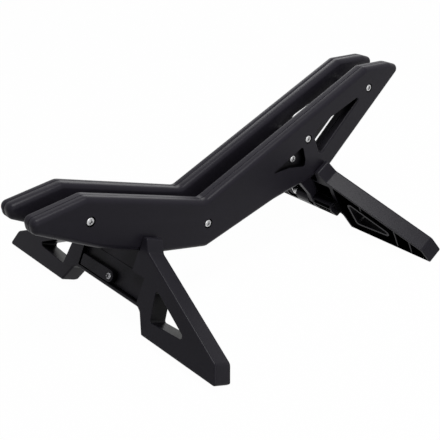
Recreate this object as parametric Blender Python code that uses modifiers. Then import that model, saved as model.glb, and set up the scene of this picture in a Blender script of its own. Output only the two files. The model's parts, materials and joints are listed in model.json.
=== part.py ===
"""Floor bike stand: two hollow moulded rails, bolted side by side, on two folding moulded leg frames.

Metres, +Z up. X runs along the rails with the long arm towards +X, and the ground is Z = 0.
The origin is on the ground under the middle of the stand.
"""
import math

import bmesh
import bpy
from mathutils import Matrix, Vector

# Rail outline, corner by corner, seen from the near side and measured from the valley in its top edge
RAIL_CORNERS = (
    (-0.2330, 0.0566, 0.0075),
    (-0.2312, 0.0407, 0.0078),
    (-0.1545, -0.0051, 0.0190),
    (-0.0668, -0.0445, 0.0480),
    (-0.0002, -0.0633, 0.0140),
    (0.1185, -0.0398, 0.0480),
    (0.2247, -0.0279, 0.0100),
    (0.3742, 0.0868, 0.0078),
    (0.3480, 0.0958, 0.0140),
    (0.2937, 0.1009, 0.0100),
    (0.0010, 0.0, 0.0140),
    (-0.1648, 0.0619, 0.0140),
)
BRACE_WINDOW = (
    (0.1922, 0.0321, 0.006),
    (0.2057, -0.0003, 0.005),
    (0.2872, 0.0647, 0.0025),
    (0.2045, 0.0421, 0.008),
)
POCKET_CORNERS = (
    (0.1125, -0.0003, 0.001),
    (0.1444, -0.0013, 0.003),
    (0.1751, -0.0080, 0.003),
    (0.1765, 0.0007, 0.003),
    (0.1703, 0.0217, 0.004),
)
POCKET_DEPTH = 0.0075
SCREW_PLACES = ((-0.1646, 0.0331), (0.0026, -0.0309), (0.1803, 0.0293), (0.3017, 0.0708))
POCKET_SCREW_PLACE = (0.1569, 0.0063)
SCREW_NAMES = ("left_end", "valley", "brace", "right_end", "pocket")

# Rail section, from the middle plane outwards
RAIL_GAP = 0.0230
INNER_SHELL_DEPTH = 0.01235
OUTER_SHELL_DEPTH = 0.01055
SEAM_GAP = 0.0003
RAIL_WALL = 0.0028
RAIL_SIDE_WALL = 0.0040
RAIL_EDGE = 0.0068
OUTER_WINDOW_EDGE = 0.0030
INNER_WINDOW_EDGE = 0.0068

# Cross screws and spacers
HEAD_RADIUS = 0.00495
HEAD_HEIGHT = 0.0022
HEAD_SINK = 0.0024
POCKET_HEAD_SINK = 0.0070
SHANK_RADIUS = 0.0020
DRIVE_RADIUS = 0.0017
DRIVE_DEPTH = 0.0013
SCREW_ENGAGEMENT = 0.0080
SPACER_RADIUS = 0.0060
BOSS_WALL = 0.0024
INNER_BOSS_RADIUS = 0.0055
CLEARANCE = 0.0003

# Hinges: places along the rails from the valley, and the legs' lean when opened
VALLEY_ABOVE_PIVOT = 0.0730
LEFT_PIVOT_ALONG = -0.0954
RIGHT_PIVOT_ALONG = 0.2166
LEFT_LEAN = 25.5
RIGHT_LEAN = 28.4
PIVOT_ABOVE_FOOT = 0.0458
PIVOT_BEHIND_PLATE = 0.0048
FOOT_FLAT_DEPTH = 0.0022
ROD_RADIUS = 0.0030
ROD_LENGTH = 0.1100
ROD_CLEARANCE = 0.0001
LUG_RADIUS = 0.0063
LUG_INNER = 0.0155
LUG_WIDTH = 0.0077
LUG_PLAY = 0.0005
LUG_ROOT = 0.0080
LUG_SPREAD = 0.0070
LUG_SLOT_ROOM = 0.0055
LUG_BLEND = 0.0100
LUG_FOOT_ROUND = 0.0060
LUG_EDGE = 0.0008
STOP_GAP = 0.0004

# Leg frame, measured from the hinge axis: across the stand, and along the plate
PLATE = 0.0241
LEG_SKIN = 0.0030
LEG_WALL = 0.0030
LEG_EDGE = 0.0022
ARCH_MARGIN = 0.0024
ARCH_TOP = -0.0198
LEFT_KNEE_OUT = 0.0055
RIGHT_KNEE_OUT = 0.0020
KNEE_DROP = 0.0034
LEFT_FOOT_INNER = 0.0790
RIGHT_FOOT_INNER = 0.0705
FOOT_OUTER = 0.2026
LEG_BEND = (0.1928, -0.0243)
SHOULDER = (0.0518, 0.0426)
ARCH_ROUND = 0.0050
KNEE_ROUND = 0.0080
FOOT_INNER_ROUND = 0.0025
FOOT_OUTER_ROUND = 0.0030
SHOULDER_ROUND = 0.0060
HORN_ROUND = 0.0025
HORN_INNER_ROUND = 0.0015
HUB_TOP_ROUND = 0.0030
HORN_TOP_OUTER = 0.0427
HORN_TOP = 0.0566
HORN_GAP = 0.0005
LEG_WINDOW = ((0.0800, 0.0105, 0.003), (0.0865, -0.0265, 0.003), (0.1460, -0.0224, 0.003))
WING_RIBS = (0.1500, 0.1720)
WINDOW_RIB = 0.1000
RIB = 0.0020
RIB_BELOW = 0.0010

# Hub in the middle of a leg frame
RECESS_HALF = 0.0576
RECESS_DEPTH = 0.0098
RECESS_TOP = 0.0141
RECESS_LIP = 0.0040
UPPER_RECESS_DEPTH = 0.0070
BARREL_RADIUS = 0.0075
HUB_SWELL = 0.0069
BLOCK_ROUND = 0.0030
BARREL_BLEND = 0.0060
COVER = 0.0025
COVER_EDGE = 0.0006
COVER_CORNER = 0.0020
BAR_RADIUS = 0.0073
BAR_SET = 0.0002
BAR_GAP = 0.0030
BAR_WALL = 0.0025
HUB_SCREW_ALONG = -0.0075
HUB_SCREW_RADIUS = 0.0025
HUB_HEAD_RADIUS = 0.0040
HUB_HEAD_HEIGHT = 0.0020
HUB_HEAD_SINK = 0.0010
INSERT_RADIUS = 0.0037
INSERT_LENGTH = 0.0080
POCKET_FLOOR = 0.0030

# Leg springs on the hinge rods
SPRING_WIRE = 0.00055
SPRING_COIL = 0.0050
SPRING_TURNS = 3
SPRING_ROOM = 0.0074
SPRING_ARM = 0.0100

ARC_STEP = math.radians(24)
ROUND_STEPS = 12
REACH = 1.0
WINDOW_PROUD = 0.0001

INNER_FACE = RAIL_GAP / 2
INNER_RIM = INNER_FACE + INNER_SHELL_DEPTH
OUTER_RIM = INNER_RIM + SEAM_GAP
OUTER_FACE = OUTER_RIM + OUTER_SHELL_DEPTH
SMOOTH_FACE = -PLATE - PIVOT_BEHIND_PLATE
RIBBED_FACE = -PIVOT_BEHIND_PLATE
HORN_INNER = OUTER_FACE + HORN_GAP
ARCH_HALF = RECESS_HALF + ARCH_MARGIN

ALONG_Y = Matrix.Rotation(math.radians(90), 4, "X")
ALONG_X = Matrix(((0, 0, 1, 0), (1, 0, 0, 0), (0, 1, 0, 0), (0, 0, 0, 1)))


def remove_objects():
    for item in list(bpy.data.objects):
        bpy.data.objects.remove(item, do_unlink=True)


def new_collection(name):
    collection = bpy.data.collections.new(name)
    bpy.context.scene.collection.children.link(collection)
    return collection


remove_objects()
STAND = new_collection("floor_bike_stand")
CUTTERS = new_collection("cutters")


def rounded(corners):
    """Turns corners with a radius each into points, with an arc at every corner."""
    points = []
    for index, (x, y, radius) in enumerate(corners):
        before = Vector(corners[index - 1][:2])
        corner = Vector((x, y))
        after = Vector(corners[(index + 1) % len(corners)][:2])
        into = (corner - before).normalized()
        out = (after - corner).normalized()
        turn = math.atan2(into.x * out.y - into.y * out.x, into.dot(out))
        if radius == 0 or abs(turn) < 0.001:
            points.append(corner)
            continue
        start = corner - into * radius * math.tan(abs(turn) / 2)
        side = math.copysign(1, turn)
        centre = start + Vector((-into.y, into.x)) * radius * side
        steps = max(1, math.ceil(abs(turn) / ARC_STEP))
        for step in range(steps + 1):
            points.append(centre + Matrix.Rotation(turn * step / steps, 2) @ (start - centre))
    return points


def inset(corners, distance):
    """Moves a counter-clockwise outline inwards by a distance, keeping its rounding concentric."""
    result = []
    for index, (x, y, radius) in enumerate(corners):
        before = Vector(corners[index - 1][:2])
        corner = Vector((x, y))
        after = Vector(corners[(index + 1) % len(corners)][:2])
        into = (corner - before).normalized()
        out = (after - corner).normalized()
        first = Vector((-into.y, into.x))
        second = Vector((-out.y, out.x))
        moved = corner + (first + second) * distance / (1 + first.dot(second))
        convex = into.x * out.y - into.y * out.x > 0
        new_radius = radius - distance if convex else radius + distance
        result.append((moved.x, moved.y, max(new_radius, 0.0005)))
    return result


def circle(place, radius, steps=ROUND_STEPS):
    turns = (2 * math.pi * step / steps for step in range(steps))
    return [Vector((place[0] + radius * math.cos(a), place[1] + radius * math.sin(a))) for a in turns]


def finish(name, mesh, collection, matrix=None):
    item = bpy.data.objects.new(name, mesh)
    collection.objects.link(item)
    if matrix is not None:
        item.matrix_world = matrix
    return item


def tidy_mesh(mesh):
    work = bmesh.new()
    work.from_mesh(mesh)
    bmesh.ops.remove_doubles(work, verts=work.verts, dist=0.00001)
    bmesh.ops.recalc_face_normals(work, faces=work.faces)
    work.to_mesh(mesh)
    work.free()


def plate(name, loops, low, high, turn, edge=0.0, rounding=1):
    """A flat outline with holes, as a solid between two depths; a bevel rounds the edges of both faces."""
    curve = bpy.data.curves.new(name, "CURVE")
    curve.dimensions = "2D"
    curve.fill_mode = "BOTH"
    curve.extrude = (high - low) / 2 - edge
    curve.bevel_depth = edge
    curve.bevel_resolution = rounding
    curve.offset = -edge
    for loop in loops:
        spline = curve.splines.new("POLY")
        spline.points.add(len(loop) - 1)
        for point, place in zip(spline.points, loop):
            point.co = (place[0], place[1], 0, 1)
        spline.use_cyclic_u = True
    item = bpy.data.objects.new(name + "_curve", curve)
    CUTTERS.objects.link(item)
    bpy.context.view_layer.update()
    mesh = bpy.data.meshes.new_from_object(item.evaluated_get(bpy.context.evaluated_depsgraph_get()))
    bpy.data.objects.remove(item, do_unlink=True)
    mesh.transform(turn @ Matrix.Translation((0, 0, (low + high) / 2)))
    tidy_mesh(mesh)
    return finish(name, mesh, CUTTERS)


def box(name, low, high):
    work = bmesh.new()
    size = [b - a for a, b in zip(low, high)]
    middle = [(a + b) / 2 for a, b in zip(low, high)]
    bmesh.ops.create_cube(work, size=1, matrix=Matrix.Translation(middle) @ Matrix.Diagonal((*size, 1)))
    mesh = bpy.data.meshes.new(name)
    work.to_mesh(mesh)
    work.free()
    return finish(name, mesh, CUTTERS)


def turned(name, profile, turn, steps=ROUND_STEPS):
    """A round solid from a (radius, height) profile, listed from its top to its bottom."""
    mesh = bpy.data.meshes.new(name)
    places = [(radius, 0, height) for radius, height in profile]
    mesh.from_pydata(places, [(i, i + 1) for i in range(len(places) - 1)], [])
    item = finish(name, mesh, CUTTERS)
    screw = item.modifiers.new("turn", "SCREW")
    screw.steps = steps
    screw.render_steps = steps
    screw.use_merge_vertices = True
    screw.merge_threshold = 0.00001
    keep_modifiers(item)
    item.data.transform(turn)
    tidy_mesh(item.data)
    return item


def keep_modifiers(item):
    """Writes an object's modifiers into its mesh."""
    bpy.context.view_layer.update()
    mesh = bpy.data.meshes.new_from_object(item.evaluated_get(bpy.context.evaluated_depsgraph_get()))
    item.modifiers.clear()
    item.data = mesh


def join(name, items):
    """Separate solids as one object."""
    work = bmesh.new()
    for item in items:
        mesh = item.data.copy()
        mesh.transform(item.matrix_world)
        work.from_mesh(mesh)
        bpy.data.objects.remove(item, do_unlink=True)
    mesh = bpy.data.meshes.new(name)
    work.to_mesh(mesh)
    work.free()
    return finish(name, mesh, CUTTERS)


def combine(item, tool, operation):
    """Cuts a tool out of a solid, or adds it, and removes the tool."""
    tool.hide_render = True
    tool.display_type = "WIRE"
    change = item.modifiers.new(operation, "BOOLEAN")
    change.operation = operation
    change.solver = "EXACT"
    change.object = tool
    keep_modifiers(item)
    tidy_mesh(item.data)
    bpy.data.objects.remove(tool, do_unlink=True)


def paint(item, colour, roughness, metallic):
    material = bpy.data.materials.new(item.name)
    material.use_nodes = True
    shader = material.node_tree.nodes["Principled BSDF"]
    shader.inputs["Base Color"].default_value = (*colour, 1)
    shader.inputs["Roughness"].default_value = roughness
    shader.inputs["Metallic"].default_value = metallic
    item.data.materials.clear()
    item.data.materials.append(material)
    item.data.polygons.foreach_set("use_smooth", [True] * len(item.data.polygons))
    item.data.set_sharp_from_angle(angle=math.radians(35))
    STAND.objects.link(item)
    CUTTERS.objects.unlink(item)


def black_plastic(item):
    paint(item, (0.018, 0.018, 0.021), 0.5, 0)


def steel(item):
    paint(item, (0.56, 0.57, 0.58), 0.3, 1)


# Where the rails and the hinges are
def leg_values(name, along, lean, side, foot_inner, knee_out):
    """A leg's hinge place, lean and arch; side is 1 for the left leg and -1 for the right one."""
    angle = math.radians(lean)
    height = PIVOT_ABOVE_FOOT * math.cos(angle) - PIVOT_BEHIND_PLATE * math.sin(angle) - FOOT_FLAT_DEPTH
    arch = (
        (ARCH_HALF, ARCH_TOP, ARCH_ROUND),
        (ARCH_HALF + knee_out, ARCH_TOP - KNEE_DROP, KNEE_ROUND),
        (foot_inner, -PIVOT_ABOVE_FOOT, FOOT_INNER_ROUND),
    )
    return {"name": name, "angle": angle, "side": side, "x": VALLEY_X + along, "z": height, "arch": arch}


RAIL_ENDS = [point.x for point in rounded(RAIL_CORNERS)]
VALLEY_X = -(min(RAIL_ENDS) + max(RAIL_ENDS)) / 2
LEFT = leg_values("left", LEFT_PIVOT_ALONG, LEFT_LEAN, 1, LEFT_FOOT_INNER, LEFT_KNEE_OUT)
RIGHT = leg_values("right", RIGHT_PIVOT_ALONG, RIGHT_LEAN, -1, RIGHT_FOOT_INNER, RIGHT_KNEE_OUT)
VALLEY_Z = LEFT["z"] + VALLEY_ABOVE_PIVOT


def on_rail(corners):
    """Corners measured from the valley, as world X and Z; any third value is kept."""
    return [(corner[0] + VALLEY_X, corner[1] + VALLEY_Z, *corner[2:]) for corner in corners]


def leg_to_rail(leg, across, along):
    """A place in a leg's own frame as world X and Z."""
    cos, sin = math.cos(leg["angle"]), math.sin(leg["angle"])
    x = leg["x"] + leg["side"] * (across * cos + along * sin)
    return x, leg["z"] - across * sin + along * cos


def rail_to_leg(leg, x, z):
    """A world X and Z place in a leg's own frame."""
    cos, sin = math.cos(leg["angle"]), math.sin(leg["angle"])
    aside = (x - leg["x"]) * leg["side"]
    rise = z - leg["z"]
    return aside * cos - rise * sin, aside * sin + rise * cos


def rail_floor(leg, low, high):
    """The rail's underside over a leg, between two depths of its plate: the lowest and highest place."""
    outline = [rail_to_leg(leg, *point) for point in rounded(on_rail(RAIL_CORNERS))]
    found = []
    for step in range(13):
        depth = low + (high - low) * step / 12
        heights = []
        for first, second in zip(outline, outline[1:] + outline[:1]):
            if (first[0] - depth) * (second[0] - depth) < 0:
                share = (depth - first[0]) / (second[0] - first[0])
                heights.append(first[1] + share * (second[1] - first[1]))
        found.append(min(heights))
    return min(found), max(found)


RAIL_OUTLINE = on_rail(RAIL_CORNERS)
RAIL_POINTS = rounded(RAIL_OUTLINE)
WINDOW_OUTLINE = on_rail(BRACE_WINDOW)
WINDOW_POINTS = rounded(WINDOW_OUTLINE)
PLAIN_SCREWS = on_rail(SCREW_PLACES)
POCKET_SCREW = on_rail([POCKET_SCREW_PLACE])[0]
ALL_SCREWS = PLAIN_SCREWS + [POCKET_SCREW]
HEAD_BORE = HEAD_RADIUS + 2 * CLEARANCE
OUTER_BOSS_RADIUS = HEAD_BORE + BOSS_WALL


def span(side, low, high):
    """Depths from the middle plane on one side (near -1, far 1), in a plate's order along Y."""
    return (low, high) if side < 0 else (-high, -low)


def bar(name, place, radius, side, low, high, steps=ROUND_STEPS):
    """A round bar across the stand, between two distances from the middle plane."""
    first, last = span(side, low, high)
    at = Matrix.Translation((place[0], 0, place[1])) @ ALONG_Y
    return turned(name, ((0, last), (radius, last), (radius, first), (0, first)), at, steps=steps)


def pocket_depth_at(x):
    left = POCKET_CORNERS[0][0] + VALLEY_X
    right = POCKET_CORNERS[3][0] + VALLEY_X
    return POCKET_DEPTH * (x - left) / (right - left)


def rail_body(name, side, low, high, window_edge):
    """A rail's outline as a solid between two depths, well rounded, with the window cut through it."""
    body = plate(name, [RAIL_POINTS], *span(side, low, high), ALONG_Y, RAIL_EDGE, rounding=2)
    half = REACH / 2
    around = ((-half, -half), (half, -half), (half, half), (-half, half))
    depths = span(side, low - WINDOW_PROUD, high + WINDOW_PROUD)
    combine(body, plate("window", [around, WINDOW_POINTS], *depths, ALONG_Y, window_edge), "INTERSECT")
    return body


def hollow_loops():
    return [rounded(inset(RAIL_OUTLINE, RAIL_SIDE_WALL)), rounded(inset(WINDOW_OUTLINE, -RAIL_SIDE_WALL))]


def outer_shell(name, side):
    """Outer half of a rail: a tray open towards the seam, with the screw bosses and the ramped pocket."""
    shell = rail_body(name, side, -OUTER_FACE, OUTER_FACE, OUTER_WINDOW_EDGE)
    first, last = sorted((-side * REACH, side * OUTER_RIM))
    combine(shell, box("seam_cut", (-REACH, first, -REACH), (REACH, last, REACH)), "DIFFERENCE")
    pad = rounded(inset(on_rail(POCKET_CORNERS), -RAIL_WALL))
    islands = [circle(place, OUTER_BOSS_RADIUS) for place in PLAIN_SCREWS] + [pad]
    loops = hollow_loops() + islands
    depths = span(side, OUTER_RIM - RAIL_WALL, OUTER_FACE - RAIL_WALL)
    combine(shell, plate("hollow", loops, *depths, ALONG_Y), "DIFFERENCE")
    depths = span(side, OUTER_FACE - 0.001, OUTER_FACE + 0.002)
    ramp = plate("ramp", [rounded(on_rail(POCKET_CORNERS))], *depths, ALONG_Y)
    for point in ramp.data.vertices:
        if abs(point.co.y) < OUTER_FACE:
            point.co.y = side * (OUTER_FACE - pocket_depth_at(point.co.x))
    combine(shell, ramp, "DIFFERENCE")
    holes = []
    for index, place in enumerate(ALL_SCREWS):
        sink = POCKET_HEAD_SINK if place == POCKET_SCREW else HEAD_SINK
        seat = OUTER_FACE - sink
        first, last = span(side, OUTER_RIM - RAIL_WALL, OUTER_FACE + 0.002)
        step = -seat if side > 0 else seat
        radii = (SHANK_RADIUS + CLEARANCE, HEAD_BORE)
        upper, lower = radii if side > 0 else radii[::-1]
        profile = ((0, last), (upper, last), (upper, step), (lower, step), (lower, first), (0, first))
        at = Matrix.Translation((place[0], 0, place[1])) @ ALONG_Y
        holes.append(turned("hole_%d" % index, profile, at))
    combine(shell, join("holes", holes), "DIFFERENCE")
    black_plastic(shell)
    return shell


def lug(leg, side):
    """A solid tongue under a rail's inner shell that the leg's hinge rod passes through."""
    lowest, highest = rail_floor(leg, -LUG_RADIUS, LUG_RADIUS + LUG_SPREAD)
    root = highest + LUG_ROOT
    own = (
        (-LUG_RADIUS, -LUG_RADIUS, LUG_RADIUS * 0.98),
        (LUG_RADIUS, -LUG_RADIUS, LUG_RADIUS * 0.98),
        (LUG_RADIUS, lowest / 3, LUG_BLEND),
        (LUG_RADIUS + LUG_SPREAD, lowest, LUG_FOOT_ROUND),
        (LUG_RADIUS + LUG_SPREAD, root, LUG_EDGE),
        (-LUG_RADIUS, root, LUG_EDGE),
    )
    outline = [(*leg_to_rail(leg, across, along), radius) for across, along, radius in own]
    depths = span(side, LUG_INNER, LUG_INNER + LUG_WIDTH)
    return plate(leg["name"] + "_lug", [rounded(outline)], *depths, ALONG_Y, LUG_EDGE)


def inner_shell(name, side):
    """Inner half of a rail: a deeper tray with screw bosses and the two hinge lugs."""
    shell = rail_body(name, side, INNER_FACE, 3 * INNER_RIM, INNER_WINDOW_EDGE)
    first, last = sorted((side * INNER_RIM, side * REACH))
    combine(shell, box("seam_cut", (-REACH, first, -REACH), (REACH, last, REACH)), "DIFFERENCE")
    islands = [circle(place, INNER_BOSS_RADIUS) for place in ALL_SCREWS]
    loops = hollow_loops() + islands
    depths = span(side, INNER_FACE + RAIL_WALL, INNER_RIM + RAIL_WALL)
    combine(shell, plate("hollow", loops, *depths, ALONG_Y), "DIFFERENCE")
    for leg in (LEFT, RIGHT):
        combine(shell, lug(leg, side), "UNION")
    bore = SHANK_RADIUS + CLEARANCE
    holes = [bar("hole_%d" % i, place, bore, side, INNER_FACE - RAIL_WALL, INNER_RIM + RAIL_WALL)
             for i, place in enumerate(ALL_SCREWS)]
    for leg in (LEFT, RIGHT):
        place = (leg["x"], leg["z"])
        holes.append(bar("rod_hole", place, ROD_RADIUS + ROD_CLEARANCE, side, INNER_FACE, OUTER_RIM, 16))
    combine(shell, join("holes", holes), "DIFFERENCE")
    black_plastic(shell)
    return shell


def spacers():
    """Threaded sleeves between the two rails, one at each screw."""
    half = INNER_FACE - CLEARANCE
    bore = SHANK_RADIUS + CLEARANCE
    for name, place in zip(SCREW_NAMES, ALL_SCREWS):
        at = Matrix.Translation((place[0], 0, place[1])) @ ALONG_Y
        end = half - SCREW_ENGAGEMENT - 2 * CLEARANCE
        profile = (
            (0, end), (bore, end), (bore, half), (SPACER_RADIUS, half),
            (SPACER_RADIUS, -half), (bore, -half), (bore, -end), (0, -end),
        )
        steel(turned(name + "_spacer", profile, at, steps=16))


def rail_screws(side_name, side):
    """Five pan-head screws, from a rail's outer side into the spacers."""
    for name, place in zip(SCREW_NAMES, ALL_SCREWS):
        sink = POCKET_HEAD_SINK if place == POCKET_SCREW else HEAD_SINK
        seat = OUTER_FACE - sink + CLEARANCE / 2
        top = seat + HEAD_HEIGHT
        tip = INNER_FACE - CLEARANCE - SCREW_ENGAGEMENT
        profile = (
            (0, top - DRIVE_DEPTH), (DRIVE_RADIUS, top - DRIVE_DEPTH), (DRIVE_RADIUS, top),
            (HEAD_RADIUS * 0.72, top), (HEAD_RADIUS, top - HEAD_HEIGHT * 0.45), (HEAD_RADIUS, seat),
            (SHANK_RADIUS, seat), (SHANK_RADIUS, tip), (0, tip),
        )
        flip = Matrix.Identity(4) if side < 0 else Matrix.Rotation(math.pi, 4, "X")
        at = Matrix.Translation((place[0], 0, place[1])) @ ALONG_Y @ flip
        steel(turned("%s_%s_screw" % (side_name, name), profile, at))


def slope_height(across):
    """The height of a leg's sloping top edge."""
    share = (across - SHOULDER[0]) / (LEG_BEND[0] - SHOULDER[0])
    return SHOULDER[1] + share * (LEG_BEND[1] - SHOULDER[1])


def leg_outline(leg, hub_top):
    half = [
        *leg["arch"],
        (FOOT_OUTER, -PIVOT_ABOVE_FOOT, FOOT_OUTER_ROUND),
        (*LEG_BEND, KNEE_ROUND),
        (*SHOULDER, SHOULDER_ROUND),
        (HORN_TOP_OUTER, HORN_TOP, HORN_ROUND),
        (HORN_INNER, HORN_TOP, HORN_INNER_ROUND),
        (HORN_INNER, hub_top, HUB_TOP_ROUND),
    ]
    return half + [(-across, along, radius) for across, along, radius in reversed(half)]


def wing_hollow(leg, side):
    """The hollow in one wing, open towards the ribbed side, around the triangular window's rim."""
    start = RECESS_HALF
    outline = [
        (start, ARCH_TOP, LUG_EDGE),
        *leg["arch"],
        (FOOT_OUTER, -PIVOT_ABOVE_FOOT, FOOT_OUTER_ROUND),
        (*LEG_BEND, KNEE_ROUND),
        (start, slope_height(start), LUG_EDGE),
    ]
    loops = [rounded(inset(outline, LEG_WALL)), rounded(inset(LEG_WINDOW, -LEG_WALL))]
    loops = [[(side * point[0], point[1]) for point in loop] for loop in loops]
    return plate("wing_hollow", loops, SMOOTH_FACE + LEG_SKIN, RIBBED_FACE + LEG_WALL, ALONG_X)


def wing_ribs(side):
    """Upright stiffening ribs in one wing."""
    foot = -PIVOT_ABOVE_FOOT + LEG_WALL / 2
    depths = (SMOOTH_FACE + LEG_SKIN / 2, RIBBED_FACE - RIB_BELOW)
    ribs = [(across, foot, slope_height(across + RIB) - LEG_WALL / 2) for across in WING_RIBS]
    top, _, tip = LEG_WINDOW
    window_edge = top[1] + (tip[1] - top[1]) * (WINDOW_RIB - top[0]) / (tip[0] - top[0])
    ribs.append((WINDOW_RIB, window_edge, slope_height(WINDOW_RIB + RIB) - LEG_WALL / 2))
    parts = []
    for across, low, high in ribs:
        first, last = sorted((side * (across - RIB / 2), side * (across + RIB / 2)))
        parts.append(box("rib", (depths[0], first, low), (depths[1], last, high)))
    return parts


def hub_block():
    """The thick lower part of the hub with the hinge barrel, on the ribbed side."""
    back = RIBBED_FACE - 0.001
    outline = (
        (back, ARCH_TOP + CLEARANCE, 0),
        (RIBBED_FACE + HUB_SWELL, ARCH_TOP + CLEARANCE, BLOCK_ROUND),
        (BARREL_RADIUS, -BARREL_RADIUS * 0.6, BARREL_BLEND),
        (BARREL_RADIUS, BARREL_RADIUS, BARREL_RADIUS * 0.95),
        (back, BARREL_RADIUS, 0),
    )
    half = RECESS_HALF - CLEARANCE
    return plate("hub_block", [rounded(outline)], -half, half, ALONG_Y)


def hub_cuts(hub_top):
    """What is cut out of the hub: front recess, lug slots, pockets and bores."""
    far = 2 * PLATE
    lug_low = LUG_INNER - LUG_PLAY
    lug_high = LUG_INNER + LUG_WIDTH + LUG_PLAY
    floor = -LUG_RADIUS - LUG_SLOT_ROOM
    behind = -LUG_RADIUS - 3 * CLEARANCE
    web = SMOOTH_FACE + RECESS_DEPTH
    upper_web = SMOOTH_FACE + UPPER_RECESS_DEPTH
    cuts = [
        ((-far, -RECESS_HALF, ARCH_TOP + RECESS_LIP), (web, RECESS_HALF, RECESS_TOP)),
        ((-far, -HORN_INNER, RECESS_TOP - LEG_WALL), (upper_web, HORN_INNER, far * 2)),
        ((behind, lug_low, floor), (far, lug_high, far)),
        ((behind, -lug_high, floor), (far, -lug_low + SPRING_ROOM, far)),
    ]
    pocket_back = web + POCKET_FLOOR
    pocket_low = BARREL_RADIUS + LEG_WALL
    pocket_high = hub_top - LEG_WALL
    wide = (lug_high + LEG_WALL, RECESS_HALF - LEG_WALL)
    narrow = (LUG_INNER - LUG_WIDTH, LUG_INNER - LEG_WALL)
    for low, high in (wide, narrow):
        for first, last in ((low, high), (-high, -low)):
            cuts.append(((pocket_back, first, pocket_low), (far, last, pocket_high)))
    groove_low = ARCH_TOP + LEG_WALL
    groove_high = -ROD_RADIUS - LEG_WALL
    for first, last in (wide, (-wide[1], -wide[0])):
        cuts.append(((RIBBED_FACE + LEG_WALL, first, groove_low), (far, last, groove_high)))
    return [box("hub_cut", low, high) for low, high in cuts]


def hub_screw_bore():
    """The stepped bore for the hub cover's screw and its threaded insert."""
    web = SMOOTH_FACE + RECESS_DEPTH
    insert_end = web + CLEARANCE + INSERT_LENGTH + CLEARANCE
    profile = (
        (0, insert_end), (INSERT_RADIUS + CLEARANCE / 2, insert_end),
        (INSERT_RADIUS + CLEARANCE / 2, web - 0.001), (0, web - 0.001),
    )
    return turned("screw_bore", profile, Matrix.Translation((0, 0, HUB_SCREW_ALONG)) @ ALONG_X, steps=16)


def leg_matrix(leg):
    turn = Matrix.Rotation(leg["angle"], 4, "Y")
    if leg["side"] < 0:
        turn = Matrix.Rotation(math.pi, 4, "Z") @ turn
    return Matrix.Translation((leg["x"], 0, leg["z"])) @ turn


def leg_frame(leg):
    """A leg: two wings with feet and horns, and the hub between them, as one moulding."""
    hub_top = rail_floor(leg, SMOOTH_FACE, RIBBED_FACE)[0] - STOP_GAP
    name = leg["name"] + "_leg_frame"
    outline = rounded(leg_outline(leg, hub_top))
    frame = plate(name, [outline], SMOOTH_FACE, RIBBED_FACE + PLATE, ALONG_X, LEG_EDGE)
    combine(frame, box("back_cut", (RIBBED_FACE, -REACH, -REACH), (REACH, REACH, REACH)), "DIFFERENCE")
    combine(frame, join("hollows", [wing_hollow(leg, 1), wing_hollow(leg, -1)]), "DIFFERENCE")
    combine(frame, join("ribs", wing_ribs(1) + wing_ribs(-1)), "UNION")
    for side in (1, -1):
        window = [[(side * point[0], point[1]) for point in rounded(LEG_WINDOW)]]
        hole = plate("window", window, SMOOTH_FACE - PLATE, RIBBED_FACE + PLATE, ALONG_X)
        combine(frame, hole, "DIFFERENCE")
    combine(frame, hub_block(), "UNION")
    for cut in hub_cuts(hub_top):
        combine(frame, cut, "DIFFERENCE")
    combine(frame, hub_screw_bore(), "DIFFERENCE")
    half = RECESS_HALF + CLEARANCE
    rod_hole = turned("rod_hole", ((0, half), (ROD_RADIUS + ROD_CLEARANCE, half),
                                   (ROD_RADIUS + ROD_CLEARANCE, -half), (0, -half)), ALONG_Y, steps=16)
    combine(frame, rod_hole, "DIFFERENCE")
    frame.matrix_world = leg_matrix(leg)
    combine(frame, box("ground", (-REACH, -REACH, -REACH), (REACH, REACH, 0)), "DIFFERENCE")
    black_plastic(frame)
    return frame


def hub_cover(leg):
    """The cover in the hub's front recess, with a raised bar from its screw to one end."""
    back = SMOOTH_FACE + RECESS_DEPTH - CLEARANCE
    front = back - COVER
    half = RECESS_HALF - CLEARANCE
    low, high = ARCH_TOP + RECESS_LIP + CLEARANCE, RECESS_TOP - CLEARANCE
    corners = ((-half, low), (half, low), (half, high), (-half, high))
    outline = [(*corner, COVER_CORNER) for corner in corners]
    cover = plate(leg["name"] + "_hub_cover", [rounded(outline)], front, back, ALONG_X, COVER_EDGE)
    face = SMOOTH_FACE + BAR_SET
    bar_end = RECESS_HALF - BAR_GAP
    bar_low, bar_high = HUB_SCREW_ALONG - BAR_RADIUS, HUB_SCREW_ALONG + BAR_RADIUS
    bar = (
        (-BAR_RADIUS, bar_low, BAR_RADIUS * 0.98),
        (bar_end, bar_low, COVER_CORNER),
        (bar_end, bar_high, COVER_CORNER),
        (-BAR_RADIUS, bar_high, BAR_RADIUS * 0.98),
    )
    combine(cover, plate("bar", [rounded(bar)], face, back - COVER / 2, ALONG_X, COVER_EDGE), "UNION")
    hollow_low = (face + BAR_WALL, BAR_RADIUS, bar_low + BAR_WALL)
    hollow_high = (back + COVER, bar_end - BAR_WALL, bar_high - BAR_WALL)
    combine(cover, box("bar_hollow", hollow_low, hollow_high), "DIFFERENCE")
    step = face + HUB_HEAD_SINK
    wide, narrow = HUB_HEAD_RADIUS + 2 * CLEARANCE, HUB_SCREW_RADIUS + CLEARANCE
    profile = ((0, back + COVER), (narrow, back + COVER), (narrow, step), (wide, step),
               (wide, face - COVER), (0, face - COVER))
    hole = turned("cover_hole", profile, Matrix.Translation((0, 0, HUB_SCREW_ALONG)) @ ALONG_X, steps=16)
    combine(cover, hole, "DIFFERENCE")
    cover.matrix_world = leg_matrix(leg)
    black_plastic(cover)


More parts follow.
